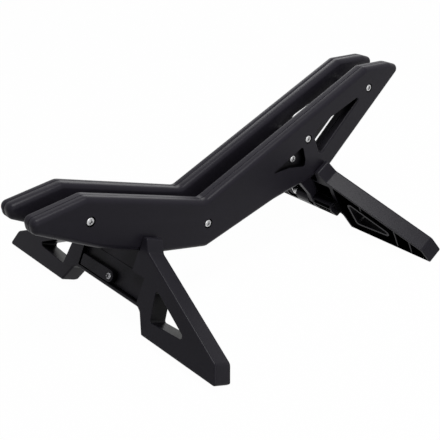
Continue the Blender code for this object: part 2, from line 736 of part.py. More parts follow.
def hub_fastener(leg):
    """The screw through the hub cover, and the brass insert that it turns into."""
    at = Matrix.Translation((0, 0, HUB_SCREW_ALONG)) @ ALONG_X
    web = SMOOTH_FACE + RECESS_DEPTH
    seat = SMOOTH_FACE + BAR_SET + HUB_HEAD_SINK - CLEARANCE / 2
    top = seat - HUB_HEAD_HEIGHT
    end = web + INSERT_LENGTH - 0.001
    profile = (
        (0, end), (HUB_SCREW_RADIUS, end), (HUB_SCREW_RADIUS, seat), (HUB_HEAD_RADIUS, seat),
        (HUB_HEAD_RADIUS, top + HUB_HEAD_HEIGHT * 0.45), (HUB_HEAD_RADIUS * 0.72, top),
        (DRIVE_RADIUS, top), (DRIVE_RADIUS, top + DRIVE_DEPTH), (0, top + DRIVE_DEPTH),
    )
    screw = turned(leg["name"] + "_hub_screw", profile, at)
    screw.matrix_world = leg_matrix(leg)
    steel(screw)
    bore = HUB_SCREW_RADIUS + CLEARANCE / 2
    start = web + CLEARANCE
    sleeve = ((bore, start + INSERT_LENGTH), (INSERT_RADIUS, start + INSERT_LENGTH), (INSERT_RADIUS, start),
              (bore, start), (bore, start + INSERT_LENGTH))
    insert = turned(leg["name"] + "_hub_insert", sleeve, at, steps=16)
    insert.matrix_world = leg_matrix(leg)
    paint(insert, (0.70, 0.50, 0.18), 0.35, 1)


def hinge_rod(leg):
    """The steel rod through the leg's knuckles and the rails' lugs."""
    half = ROD_LENGTH / 2
    bevel = ROD_RADIUS * 0.8
    shoulder = half - (ROD_RADIUS - bevel)
    profile = (
        (0, half), (bevel, half), (ROD_RADIUS, shoulder),
        (ROD_RADIUS, -shoulder), (bevel, -half), (0, -half),
    )
    rod = turned(leg["name"] + "_hinge_rod", profile, ALONG_Y, steps=16)
    rod.matrix_world = leg_matrix(leg)
    steel(rod)


def leg_spring(leg):
    """A torsion spring on the hinge rod, with one arm on the hub and one arm up along the lug."""
    low = -LUG_INNER + CLEARANCE + SPRING_WIRE
    length = SPRING_ROOM + LUG_PLAY - 2 * (CLEARANCE + SPRING_WIRE)
    points = [Vector((SPRING_COIL, low, SPRING_ARM))]
    steps = 10 * SPRING_TURNS
    for step in range(steps + 1):
        angle = -2 * math.pi * step / 10
        across, along = SPRING_COIL * math.cos(angle), SPRING_COIL * math.sin(angle)
        points.append(Vector((across, low + length * step / steps, along)))
    points.append(Vector((SPRING_COIL, low + length, -SPRING_ARM)))
    gaps = [(a - b).length for i, a in enumerate(points) for b in points[i + 6:]]
    print(leg["name"], "spring, least gap to itself in mm:", round((min(gaps) - 2 * SPRING_WIRE) * 1000, 2))
    curve = bpy.data.curves.new("spring", "CURVE")
    curve.dimensions = "3D"
    curve.bevel_depth = SPRING_WIRE
    curve.bevel_resolution = 1
    curve.use_fill_caps = True
    spline = curve.splines.new("POLY")
    spline.points.add(len(points) - 1)
    for point, place in zip(spline.points, points):
        point.co = (*place, 1)
    item = bpy.data.objects.new("spring_curve", curve)
    CUTTERS.objects.link(item)
    bpy.context.view_layer.update()
    mesh = bpy.data.meshes.new_from_object(item.evaluated_get(bpy.context.evaluated_depsgraph_get()))
    bpy.data.objects.remove(item, do_unlink=True)
    tidy_mesh(mesh)
    spring = finish(leg["name"] + "_leg_spring", mesh, CUTTERS, leg_matrix(leg))
    steel(spring)


for side_name, side_sign in (("near", -1), ("far", 1)):
    outer_shell(side_name + "_rail_outer_shell", side_sign)
    inner_shell(side_name + "_rail_inner_shell", side_sign)
    rail_screws(side_name, side_sign)
spacers()
for leg_side in (LEFT, RIGHT):
    leg_frame(leg_side)
    hub_cover(leg_side)
    hub_fastener(leg_side)
    hinge_rod(leg_side)
    leg_spring(leg_side)
bpy.context.view_layer.update()
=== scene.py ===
"""The floor bike stand, dressed: two moulded rails on two folding leg frames, on a white studio floor."""
import json
import math

import bmesh
import bpy
from mathutils import Matrix, Vector


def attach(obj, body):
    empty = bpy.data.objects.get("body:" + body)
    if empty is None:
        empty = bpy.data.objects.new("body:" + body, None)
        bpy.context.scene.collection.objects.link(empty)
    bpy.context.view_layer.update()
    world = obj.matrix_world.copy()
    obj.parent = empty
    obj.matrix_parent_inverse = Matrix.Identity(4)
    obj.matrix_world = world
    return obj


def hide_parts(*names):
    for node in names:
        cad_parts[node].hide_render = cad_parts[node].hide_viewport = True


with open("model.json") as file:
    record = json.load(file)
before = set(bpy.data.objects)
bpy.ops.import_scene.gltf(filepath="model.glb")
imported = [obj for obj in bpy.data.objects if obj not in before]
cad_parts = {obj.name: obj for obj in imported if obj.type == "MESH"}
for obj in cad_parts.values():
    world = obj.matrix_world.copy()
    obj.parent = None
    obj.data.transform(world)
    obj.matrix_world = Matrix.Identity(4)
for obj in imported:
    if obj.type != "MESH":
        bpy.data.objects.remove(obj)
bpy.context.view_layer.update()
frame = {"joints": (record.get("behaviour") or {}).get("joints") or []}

# Rail outer halves
# Each rail is two trays of black polypropylene, moulded apart and clamped together by the cross screws.
# The outer tray has a rounded shoulder, a triangular window in the long arm, a ramped pocket and
# counterbored screw places. The seam between the trays runs along the top as a fine groove.
RAIL_SHAPE = (
    (-0.2997, 0.1666, 0.0075),
    (-0.2979, 0.1507, 0.0078),
    (-0.2212, 0.1049, 0.0190),
    (-0.1335, 0.0655, 0.0480),
    (-0.0669, 0.0467, 0.0140),
    (0.0518, 0.0702, 0.0480),
    (0.1580, 0.0821, 0.0100),
    (0.3075, 0.1968, 0.0078),
    (0.2813, 0.2058, 0.0140),
    (0.2270, 0.2109, 0.0100),
    (-0.0657, 0.1100, 0.0140),
    (-0.2315, 0.1719, 0.0140),
)
WINDOW_SHAPE = (
    (0.1255, 0.1421, 0.006),
    (0.1390, 0.1097, 0.005),
    (0.2205, 0.1747, 0.0025),
    (0.1378, 0.1521, 0.008),
)
POCKET_SHAPE = (
    (0.0458, 0.1097, 0.001),
    (0.0777, 0.1087, 0.003),
    (0.1084, 0.1020, 0.003),
    (0.1098, 0.1107, 0.003),
    (0.1036, 0.1317, 0.004),
)
SCREW_SPOTS = {
    "left_end": (-0.2313, 0.1431),
    "valley": (-0.0641, 0.0791),
    "brace": (0.1136, 0.1393),
    "right_end": (0.2350, 0.1808),
    "pocket": (0.0902, 0.1163),
}
INNER_FACE = 0.0115
SEAM_IN = 0.02385
SEAM_OUT = 0.02415
OUTER_FACE = 0.0347
SHELL_WALL = 0.0028
SIDE_WALL = 0.0040
POCKET_DEPTH = 0.0069
POCKET_FLOOR_START = 0.0850
SHOULDER = 0.0068
OUTER_WINDOW_EDGE = 0.0030
INNER_WINDOW_EDGE = 0.0066
SEAM_EDGE = 0.0008
HEAD_SINK = 0.0024
POCKET_HEAD_SINK = 0.0070
SINKS = {name: POCKET_HEAD_SINK if name == "pocket" else HEAD_SINK for name in SCREW_SPOTS}
HEAD_PLACE = 0.0061
SCREW_BORE = 0.0023
OUTER_BOSS = 0.00795
OUTER_REACH = (-0.04, -0.02)
ACROSS = Matrix.Rotation(math.pi / 2, 4, "X")


def deselect():
    bpy.ops.object.select_all(action="DESELECT")


def take(*pieces):
    """Selects only these pieces and makes the first one active."""
    deselect()
    for piece in pieces:
        piece.select_set(True)
    bpy.context.view_layer.objects.active = pieces[0]


def set_in_place(piece, place):
    """Moves a piece and keeps the move in its mesh."""
    take(piece)
    piece.matrix_world = place
    bpy.ops.object.transform_apply(location=True, rotation=True, scale=True)


def ways(corners, index):
    """A corner of an outline, and the directions in which the outline comes to it and leaves it."""
    before, corner, after = (Vector(corners[(index + step) % len(corners)][:2]) for step in (-1, 0, 1))
    return corner, (corner - before).normalized(), (after - corner).normalized()


def arcs(corners):
    """Outline points from corners with a radius each, every corner turned into a fine arc."""
    points = []
    for index, (_, _, radius) in enumerate(corners):
        corner, into, out = ways(corners, index)
        turn = math.atan2(into.x * out.y - into.y * out.x, into.dot(out))
        if radius == 0 or abs(turn) < 0.005:
            points.append(corner)
            continue
        start = corner - into * radius * math.tan(abs(turn) / 2)
        centre = start + Vector((-into.y, into.x)) * math.copysign(radius, turn)
        steps = max(2, round(abs(turn) / math.radians(7)))
        arm = start - centre
        points += [centre + Matrix.Rotation(turn * step / steps, 2) @ arm for step in range(steps + 1)]
    return points


def pick(piece, kind, wanted):
    """In edit mode, selects only the vertices, edges or faces that the test wants."""
    work = bmesh.from_edit_mesh(piece.data)
    for group in (work.faces, work.edges, work.verts):
        for part in group:
            part.select = False
    for part in getattr(work, kind):
        if wanted(part):
            part.select_set(True)
    bmesh.update_edit_mesh(piece.data)


def to_mesh(name, curve):
    """Puts a curve in the scene and turns it into a mesh."""
    piece = bpy.data.objects.new(name, curve)
    bpy.context.scene.collection.objects.link(piece)
    take(piece)
    bpy.ops.object.convert(target="MESH")
    return piece


def close_seams(piece):
    """Merges the points that lie on each other and turns every face outwards."""
    take(piece)
    bpy.ops.object.mode_set(mode="EDIT")
    bpy.ops.mesh.select_all(action="SELECT")
    bpy.ops.mesh.remove_doubles(threshold=0.00001)
    bpy.ops.mesh.normals_make_consistent(inside=False)
    bpy.ops.object.mode_set(mode="OBJECT")


def slab(name, outlines, low, high, turn, edge=0.0, steps=3):
    """A flat outline as a solid between two depths with rounded rims. Its further loops are holes."""
    curve = bpy.data.curves.new(name, "CURVE")
    curve.dimensions = "2D"
    curve.fill_mode = "BOTH"
    curve.extrude = (high - low) / 2 - edge
    curve.bevel_depth = edge
    curve.bevel_resolution = steps
    curve.offset = -edge
    for corners in outlines:
        loop = arcs(corners)
        spline = curve.splines.new("POLY")
        spline.points.add(len(loop) - 1)
        spline.use_cyclic_u = True
        for point, place in zip(spline.points, loop):
            point.co = (*place, 0, 1)
    piece = to_mesh(name, curve)
    set_in_place(piece, turn @ Matrix.Translation((0, 0, (low + high) / 2)))
    close_seams(piece)
    return piece


def round_rim(piece, wanted, radius, segments=4):
    """Rounds the sharp edges whose ends both pass a test on their place."""
    take(piece)
    bpy.ops.object.mode_set(mode="EDIT")
    bpy.ops.mesh.select_mode(type="EDGE")
    pick(piece, "edges", lambda edge: len(edge.link_faces) == 2 and edge.calc_face_angle(0) > 0.6
         and all(wanted(vertex.co) for vertex in edge.verts))
    bpy.ops.mesh.bevel(offset=radius, segments=segments, affect="EDGES", clamp_overlap=False)
    bpy.ops.object.mode_set(mode="OBJECT")


def apply(piece, kind, **settings):
    """Adds a modifier and applies it."""
    take(piece)
    bpy.ops.object.modifier_add(type=kind)
    modifier = piece.modifiers[-1]
    for key, value in settings.items():
        setattr(modifier, key, value)
    bpy.ops.object.modifier_apply(modifier=modifier.name)


def cut(piece, *tools, operation="DIFFERENCE"):
    """Cuts tools out of a piece, or adds them, and clears them away. Tools that don't meet go in one cut."""
    take(*tools)
    if len(tools) > 1:
        bpy.ops.object.join()
    tool = bpy.context.view_layer.objects.active
    apply(piece, "BOOLEAN", operation=operation, solver="EXACT", object=tool)
    bpy.data.objects.remove(tool, do_unlink=True)
    apply(piece, "DECIMATE", decimate_type="DISSOLVE", angle_limit=math.radians(0.05))


def soften(piece, angle=35):
    """Smooth shading that keeps wide flats flat."""
    take(piece)
    bpy.ops.object.shade_smooth_by_angle(angle=math.radians(angle))
    apply(piece, "WEIGHTED_NORMAL", weight=80, keep_sharp=True)


def grown(corners, distance):
    """An outline moved outwards by a distance, with its rounding kept concentric."""
    result = []
    for index, (_, _, radius) in enumerate(corners):
        corner, into, out = ways(corners, index)
        normals = Vector((into.y, -into.x)), Vector((out.y, -out.x))
        moved = corner + (normals[0] + normals[1]) * distance / (1 + normals[0].dot(normals[1]))
        convex = into.x * out.y - into.y * out.x > 0
        result.append((moved.x, moved.y, max(0.0005, radius + distance if convex else radius - distance)))
    return tuple(result)


def block(name, low, high):
    """A plain block between two corners, for a straight cut."""
    deselect()
    bpy.ops.mesh.primitive_cube_add(size=1, location=[(a + b) / 2 for a, b in zip(low, high)])
    piece = bpy.context.object
    piece.name = name
    piece.scale = [b - a for a, b in zip(low, high)]
    bpy.ops.object.transform_apply(location=True, rotation=True, scale=True)
    return piece


def rod_shape(name, spot, radius, low, high, sides=32):
    """A round bar along Y at an (x, z) spot."""
    deselect()
    bpy.ops.mesh.primitive_cylinder_add(vertices=sides, radius=radius, depth=high - low,
                                        location=(spot[0], (low + high) / 2, spot[1]),
                                        rotation=(math.pi / 2, 0, 0))
    rod = bpy.context.object
    rod.name = name
    bpy.ops.object.transform_apply(location=True, rotation=True, scale=True)
    return rod


def turned_over(piece, name):
    """The mirror image of a piece on the other side of the stand's middle plane."""
    take(piece)
    bpy.ops.object.duplicate()
    copy = bpy.context.object
    copy.name = name
    for vertex in copy.data.vertices:
        vertex.co.y = -vertex.co.y
    bpy.ops.object.mode_set(mode="EDIT")
    bpy.ops.mesh.select_all(action="SELECT")
    bpy.ops.mesh.flip_normals()
    bpy.ops.object.mode_set(mode="OBJECT")
    return copy


def rods(name, spots, radius, reach, sides=32):
    """A round bar along Y at each of several spots."""
    return [rod_shape(name, spot, radius, *reach, sides) for spot in spots]


def pocket_ramp():
    """The pocket's cutter: its floor slopes in towards the window, and lies flat about the screw."""
    ramp = slab("ramp", [POCKET_SHAPE], OUTER_FACE - 0.001, OUTER_FACE + 0.002, ACROSS)
    left = POCKET_SHAPE[0][0]
    for vertex in ramp.data.vertices:
        if vertex.co.y > -OUTER_FACE:
            vertex.co.y = POCKET_DEPTH * (vertex.co.x - left) / (POCKET_FLOOR_START - left) - OUTER_FACE
    cut(ramp, block("floor", (-1, POCKET_DEPTH - OUTER_FACE, -1), (1, 1, 1)))
    return ramp


def rail_body(name, low, high, window_edge):
    """The rail's outline between two depths, with its wide round shoulders and the window through it."""
    body = slab(name, [RAIL_SHAPE], low, high, ACROSS, SHOULDER, 8)
    around = ((-0.5, -0.5, 0), (0.5, -0.5, 0), (0.5, 0.5, 0), (-0.5, 0.5, 0))
    frame_round = slab("window", [around, WINDOW_SHAPE], low - 0.0001, high + 0.0001, ACROSS, window_edge, 6)
    cut(body, frame_round, operation="INTERSECT")
    return body


def tray_hollow(low, high, *islands):
    shapes = [grown(RAIL_SHAPE, -SIDE_WALL), grown(WINDOW_SHAPE, SIDE_WALL), *islands]
    return slab("hollow", shapes, low, high, ACROSS)


def outer_half():
    half = rail_body("near_rail_outer", -OUTER_FACE, OUTER_FACE, OUTER_WINDOW_EDGE)
    cut(half, block("behind", (-1, -SEAM_OUT, -1), (1, 1, 1)))
    round_rim(half, lambda co: co.y > -0.0001 - SEAM_OUT, SEAM_EDGE, 2)
    hollow = tray_hollow(SEAM_OUT - 0.001, OUTER_FACE - SHELL_WALL, grown(POCKET_SHAPE, SHELL_WALL))
    open_spots = [spot for name, spot in SCREW_SPOTS.items() if name != "pocket"]
    cut(hollow, *rods("boss", open_spots, OUTER_BOSS, OUTER_REACH))
    cut(half, hollow)
    cut(half, pocket_ramp())
    cut(half, *[rod_shape("head_place", spot, HEAD_PLACE, OUTER_REACH[0], SINKS[name] - OUTER_FACE, 40)
                for name, spot in SCREW_SPOTS.items()])
    cut(half, *rods("bore", SCREW_SPOTS.values(), SCREW_BORE, OUTER_REACH, 20))
    return half


# Plastic finish
# Black polypropylene with a fine spark-eroded texture: mostly matt, a little bluish, with painted shade
# that darkens the colour in each piece's own corners, and slightly lighter where hands and tyres rub the
# rounded edges.
class Wire:
    """A shader value that can be used in sums."""

    def __init__(self, finish, socket):
        self.finish = finish
        self.socket = socket

    def sum(self, operation, first, second):
        return self.finish.node("ShaderNodeMath", {"operation": operation}, first, second)

    def __add__(self, other):
        return self.sum("ADD", self, other)

    def __sub__(self, other):
        return self.sum("SUBTRACT", self, other)

    def __rsub__(self, other):
        return self.sum("SUBTRACT", other, self)

    def __mul__(self, other):
        return self.sum("MULTIPLY", self, other)

    __radd__ = __add__
    __rmul__ = __mul__


class Finish:
    """A material and its Principled shader, filled in node by node."""

    def __init__(self, name, **uniform):
        self.material = bpy.data.materials.new(name)
        self.material.use_nodes = True
        self.tree = self.material.node_tree
        self.shader = self.tree.nodes["Principled BSDF"]
        for socket, value in uniform.items():
            self.shader.inputs[socket.replace("_", " ")].default_value = value

    def node(self, kind, settings, *values, output=0, **named):
        """A node of a kind, with its settings made first and then its sockets filled, in order or by name."""
        made = self.tree.nodes.new(kind)
        for key, value in settings.items():
            if key == "stops":
                for element, (place, shade) in zip(made.color_ramp.elements, value):
                    element.position = place
                    element.color = (shade, shade, shade, 1)
            else:
                setattr(made, key, value)
        sockets = list(made.inputs)[:len(values)] + [made.inputs[key.replace("_", " ")] for key in named]
        for socket, value in zip(sockets, (*values, *named.values())):
            if isinstance(value, Wire):
                self.tree.links.new(value.socket, socket)
            elif value is not None:
                socket.default_value = value
        return Wire(self, made.outputs[output])

    def feed(self, **wires):
        for socket, wire in wires.items():
            self.tree.links.new(wire.socket, self.shader.inputs[socket.replace("_", " ")])

    def noise(self, scale, detail=3.0, roughness=0.5, stretch=(1, 1, 1)):
        places = self.node("ShaderNodeTexCoord", {}, output="Object")
        spread = self.node("ShaderNodeMapping", {}, places, Scale=stretch)
        return self.node("ShaderNodeTexNoise", {}, Vector=spread, Scale=scale, Detail=detail,
                         Roughness=roughness)

    def blend(self, factor, first, second):
        """A colour between two, by a factor."""
        colours = [value if isinstance(value, Wire) else (*value, 1) for value in (first, second)]
        unused = [None] * 5
        return self.node("ShaderNodeMix", {"data_type": "RGBA"}, factor, *unused, *colours, output=2)

    def bump(self, height, strength, distance):
        self.feed(Normal=self.node("ShaderNodeBump", {}, Strength=strength, Distance=distance, Height=height))


def plastic(name, dark, light, rough):
    finish = Finish(name, Specular_IOR_Level=0.08)
    cloud = finish.noise(14, 3)
    mottle = finish.noise(420, 2)
    grain = finish.noise(2600, 2, 0.6)
    edge = finish.node("ShaderNodeNewGeometry", {}, output="Pointiness")
    rubbed = finish.node("ShaderNodeValToRGB", {"stops": ((0.52, 0.0), (0.60, 1.0))}, edge)
    worn = rubbed * (mottle * 0.7 + 0.3)
    # Painted shade: an ambient-occlusion node over each piece's own shape darkens the colour in its corners
    # and recesses, down to 6% of the dark tone.
    own_shape = {"samples": 8, "only_local": True}
    painted_corner_shade = finish.node("ShaderNodeAmbientOcclusion", own_shape, Distance=0.035, output="AO")
    base = finish.blend(cloud * 0.6 + mottle * 0.4, dark, light)
    base = finish.blend(painted_corner_shade * 2.4 - 1.4, tuple(0.06 * shade for shade in dark), base)
    finish.feed(Base_Color=finish.blend(worn * 0.35, base, tuple(2.2 * shade for shade in light)),
                Roughness=mottle * 0.10 + cloud * 0.06 + (rough - 0.08) - worn * 0.08)
    finish.bump(grain + mottle * 0.6, 0.25, 0.0001)
    return finish.material


def dress(piece, material, body, *nodes):
    """Gives a finished piece its material and its body, and says which nodes it stands for."""
    piece.data.materials.clear()
    piece.data.materials.append(material)
    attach(piece, body)
    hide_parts(*nodes)


rail_black = plastic("rail_black", (0.0118, 0.0108, 0.0150), (0.0175, 0.0160, 0.0216), 0.36)
near_outer = outer_half()
soften(near_outer)
far_outer = turned_over(near_outer, "far_rail_outer")
dress(near_outer, rail_black, "rails", "near_rail_outer_shell")
dress(far_outer, rail_black, "rails", "far_rail_outer_shell")

# Rail inner halves
# The inner tray of each rail faces the tyre. It is deeper, has a boss round each cross screw, and
# carries two solid tongues under it that the leg hinges' rods pass through.
LEG_LEAN = {"left": 25.5, "right": 28.4}
LUG_RADIUS = 0.0063
LUG_SPREAD = 0.0070
LUG_SPAN = (0.0155, 0.0232)
LUG_REACH = {"left": (0.03758, 0.04627), "right": (0.04618, 0.06210)}
ROD_BORE = 0.0031
INNER_BOSS = 0.0055
INNER_REACH = (-0.04, -0.001)
PIVOTS = {joint["child"].replace("_leg", ""): joint["pos_m"] for joint in frame["joints"]}


def leg_place(side):
    """Where a leg's own frame stands: origin on the hinge, X across its plate, Z up along it."""
    turn = Matrix.Rotation(math.radians(LEG_LEAN[side]), 4, "Y")
    if side == "right":
        turn = Matrix.Rotation(math.pi, 4, "Z") @ turn
    return Matrix.Translation(PIVOTS[side]) @ turn


def lug(side):
    """A tongue from the hinge up into the rail, in the near rail."""
    lowest, root = LUG_REACH[side]
    shape = (
        (-LUG_RADIUS, -LUG_RADIUS, LUG_RADIUS * 0.98),
        (LUG_RADIUS, -LUG_RADIUS, LUG_RADIUS * 0.98),
        (LUG_RADIUS, lowest / 3, 0.010),
        (LUG_RADIUS + LUG_SPREAD, lowest, 0.006),
        (LUG_RADIUS + LUG_SPREAD, root, 0.0008),
        (-LUG_RADIUS, root, 0.0008),
    )
    places = [leg_place(side) @ Vector((across, 0, along)) for across, along, _ in shape]
    corners = [(place.x, place.z, radius) for place, (_, _, radius) in zip(places, shape)]
    if side == "right":
        corners = corners[::-1]
    return slab("lug", [corners], *LUG_SPAN, ACROSS, 0.0008)


def inner_half():
    half = rail_body("near_rail_inner", INNER_FACE, 3 * SEAM_IN, INNER_WINDOW_EDGE)
    cut(half, block("beyond", (-1, -1, -1), (1, -SEAM_IN, 1)))
    round_rim(half, lambda co: co.y < 0.0001 - SEAM_IN, SEAM_EDGE, 2)
    hollow = tray_hollow(INNER_FACE + SHELL_WALL, SEAM_IN + 0.001)
    cut(hollow, *rods("boss", SCREW_SPOTS.values(), INNER_BOSS, INNER_REACH))
    cut(half, hollow)
    for side in ("left", "right"):
        cut(half, lug(side), operation="UNION")
    bores = rods("bore", SCREW_SPOTS.values(), SCREW_BORE, INNER_REACH, 20)
    bores += rods("rod_bore", [(place[0], place[2]) for place in PIVOTS.values()], ROD_BORE, INNER_REACH)
    cut(half, *bores)
    return half


near_inner = inner_half()
soften(near_inner)
far_inner = turned_over(near_inner, "far_rail_inner")
dress(near_inner, rail_black, "rails", "near_rail_inner_shell")
dress(far_inner, rail_black, "rails", "far_rail_inner_shell")

# Spacers
# Zinc-plated steel sleeves between the rails, one on each cross screw, threaded inside at both ends.
# They set the width of the tyre slot.
SPACER_RADIUS = 0.0060
SPACER_HALF = 0.0112


def sleeve(name, spot, radius, bore, low, high):
    """A turned sleeve along Y with chamfered ends."""
    tube = rod_shape(name, spot, radius, low, high, 48)
    round_rim(tube, lambda co: True, 0.0004, 2)
    cut(tube, rod_shape("bore", spot, bore, low - 0.001, high + 0.001, 32))
    return tube


def metal(name, dark, light, rough, stretch=(1, 1, 1)):
    """Turned or drawn metal: fine tool lines, small dull patches and a trace of handling."""
    finish = Finish(name, Metallic=1.0)
    cloud = finish.noise(90, 3)
    lines = finish.noise(900, 3, 0.6, stretch)
    finish.feed(Base_Color=finish.blend(cloud * 0.7 + lines * 0.3, dark, light),
                Roughness=cloud * 0.16 + lines * 0.14 + (rough - 0.15))
    finish.bump(lines, 0.3, 0.00005)
    return finish.material


zinc = metal("spacer_zinc", (0.42, 0.43, 0.44), (0.62, 0.62, 0.61), 0.36, (1, 6, 1))
for name, spot in SCREW_SPOTS.items():
    spacer = sleeve(name + "_sleeve", spot, SPACER_RADIUS, SCREW_BORE, -SPACER_HALF, SPACER_HALF)
    soften(spacer)
    dress(spacer, zinc, "rails", name + "_spacer")

# Cross screws
# Ten zinc-plated pan-head screws with a cross recess, five from each side, each sunk in its
# counterbore and turned into a spacer's thread.
HEAD_RADIUS = 0.00495
HEAD_HEIGHT = 0.0022
SHANK_RADIUS = 0.0020
THREAD_LENGTH = 0.0080
THREAD_PITCH = 0.0007
THREAD_HEIGHT = 0.0002
CROSS_ARM = 0.0028
CROSS_HALF_WIDTH = 0.0011
CROSS_HALF_DEPTH = 0.0024
CROSS_CENTRE = 0.0006
CROSS_TURN = 0.5
TIP_DEPTH = -0.0032


def thread(spot, root, crest, low, high, pitch):
    """A fine ridge that winds round a shank along Y, from one depth to another."""
    deselect()
    bpy.ops.mesh.primitive_circle_add(vertices=3, radius=pitch * 0.33, location=(root, low, 0))
    ridge = bpy.context.object
    bpy.ops.object.transform_apply(location=True, rotation=True, scale=True)
    for vertex in ridge.data.vertices:
        vertex.co.x = crest if abs(vertex.co.y - low) < 0.00001 else root - 0.0001
    turns = int((high - low) / pitch) - 1
    apply(ridge, "SCREW", axis="Y", screw_offset=pitch, iterations=turns, steps=20, render_steps=20)
    for vertex in ridge.data.vertices:
        vertex.co.x += spot[0]
        vertex.co.z += spot[1]
    return ridge


def cross_screw(name, spot, seat, tip, head_size=(HEAD_RADIUS, HEAD_HEIGHT), shank_radius=SHANK_RADIUS):
    """A pan-head screw along Y at the near side: its head outside the seat, its shank in to the tip."""
    head_radius, head_height = head_size
    outer = seat - head_height
    head = rod_shape(name, spot, head_radius, outer, seat, 48)
    round_rim(head, lambda co: co.y < outer + 0.0001, head_height * 0.72, 6)
    corner = Vector((CROSS_ARM, CROSS_HALF_DEPTH, CROSS_HALF_WIDTH))
    centre = Matrix.Translation((spot[0], outer + CROSS_CENTRE, spot[1]))
    for turn in (CROSS_TURN, CROSS_TURN + math.pi / 2):
        slot = block("slot", -corner, corner)
        slot.matrix_world = centre @ Matrix.Rotation(turn, 4, "Y")
        cut(head, slot)
    shank = rod_shape("shank", spot, shank_radius, seat - 0.0004, tip, 32)
    round_rim(shank, lambda co: co.y > tip - 0.0001, 0.0005, 2)
    cut(head, shank, operation="UNION")
    ridge = thread(spot, shank_radius, shank_radius + THREAD_HEIGHT, tip - THREAD_LENGTH, tip, THREAD_PITCH)
    take(head, ridge)
    bpy.ops.object.join()
    return head


screw_steel = metal("screw_zinc", (0.42, 0.42, 0.43), (0.66, 0.66, 0.66), 0.30)
for name, spot in SCREW_SPOTS.items():
    seat = SINKS[name] - OUTER_FACE - 0.00015
    near_screw = cross_screw("near_" + name + "_pan_screw", spot, seat, TIP_DEPTH)
    soften(near_screw)
    far_screw = turned_over(near_screw, "far_" + name + "_pan_screw")
    dress(near_screw, screw_steel, "rails", "near_" + name + "_screw")
    dress(far_screw, screw_steel, "rails", "far_" + name + "_screw")

# Leg frames
# Each leg is one black moulding: two wings that run down to the feet, two horns that hold the rails'
# sides, and a thick hub between them with knuckles for the hinge rod. The outer face is smooth and the
# inner one is hollow, with a deep rim, stiffening ribs and a triangular window through each wing.
SMOOTH_FACE = -0.0289
RIBBED_FACE = -0.0048
LEG_WALL = 0.0030
RECESS_HALF = 0.0576
RECESS_DEPTH = 0.0098
RECESS_SPAN = (-0.0158, 0.0141)
COVER_SCREW_UP = -0.0075
ARCH_TOP = -0.0198
FOOT_LEVEL = -0.0458
HUB_TOP = {"left": 0.03667, "right": 0.03699}
HORN_INNER = 0.0352
ARCH = {
    "left": ((0.0600, ARCH_TOP, 0.005), (0.0655, -0.0232, 0.008), (0.0790, FOOT_LEVEL, 0.0026)),
    "right": ((0.0600, ARCH_TOP, 0.005), (0.0620, -0.0232, 0.008), (0.0705, FOOT_LEVEL, 0.0026)),
}
WING_END = ((0.2026, FOOT_LEVEL, 0.0030), (0.1928, -0.0243, 0.008))
WING_SHOULDER = (0.0518, 0.0426, 0.006)
LEG_WINDOW = ((0.0800, 0.0105, 0.003), (0.0865, -0.0265, 0.003), (0.1460, -0.0224, 0.003))
UPRIGHT_RIBS = (0.1000, 0.1500, 0.1720)
RIB = 0.0020
BARREL = 0.0075
UPPER_RECESS_FOOT = 0.0111
UPPER_RECESS_DEPTH = 0.0070
LUG_SLOTS = ((0.0150, 0.0237), (-0.0237, -0.0076))
LUG_SLOT_FRONT = -0.0072
LUG_SLOT_FOOT = -0.0118
OUTER_BAYS = ((0.0267, 0.0546), (-0.0546, -0.0267))
INNER_BAYS = ((0.0078, 0.0125), (-0.0125, -0.0078))
BAY_FOOT = 0.0105
GROOVE_TOP = -0.0060
RIB_GAP_FLOOR = 0.0043
RIB_GAP_HEIGHT = 0.0044
RIB_GAP_FEET = (-0.0052, 0.0010)
INSERT_PLACE_RADIUS = 0.00385
INSERT_PLACE_DEPTH = 0.0086
FLAT_ON = Matrix(((0, 0, 1, 0), (1, 0, 0, 0), (0, 1, 0, 0), (0, 0, 0, 1)))


def to_leg(piece, side, turn=Matrix.Identity(4)):
    """Puts a piece that was made in a leg's own frame in its place."""
    set_in_place(piece, leg_place(side) @ turn)


def stud(name, radius, low, high, sides=40):
    """A round bar through the hub's plate, on the cover screw's axis."""
    deselect()
    bpy.ops.mesh.primitive_cylinder_add(vertices=sides, radius=radius, depth=high - low,
                                        location=((low + high) / 2, 0, COVER_SCREW_UP),
                                        rotation=(0, math.pi / 2, 0))
    bar = bpy.context.object
    bar.name = name
    bpy.ops.object.transform_apply(location=True, rotation=True, scale=True)
    return bar


def both_ways(shape):
    """A loop for the wing at +Y, and the same one for the wing at -Y."""
    return shape, tuple((-a, b, radius) for a, b, radius in shape)[::-1]


def wing_hollow(shape, window):
    """The cutter for one wing's hollow, less its upright ribs."""
    sign = 1 if shape[0][0] > 0 else -1
    hollow = slab("hollow", [grown(shape, -LEG_WALL), grown(window, LEG_WALL)],
                  SMOOTH_FACE + LEG_WALL, RIBBED_FACE + LEG_WALL, FLAT_ON)
    for across in UPRIGHT_RIBS:
        low, high = sorted((sign * (across - RIB / 2), sign * (across + RIB / 2)))
        cut(hollow, block("rib", (-1, low, -0.026 if across < 0.14 else -1), (RIBBED_FACE - 0.001, high, 1)))
    return hollow


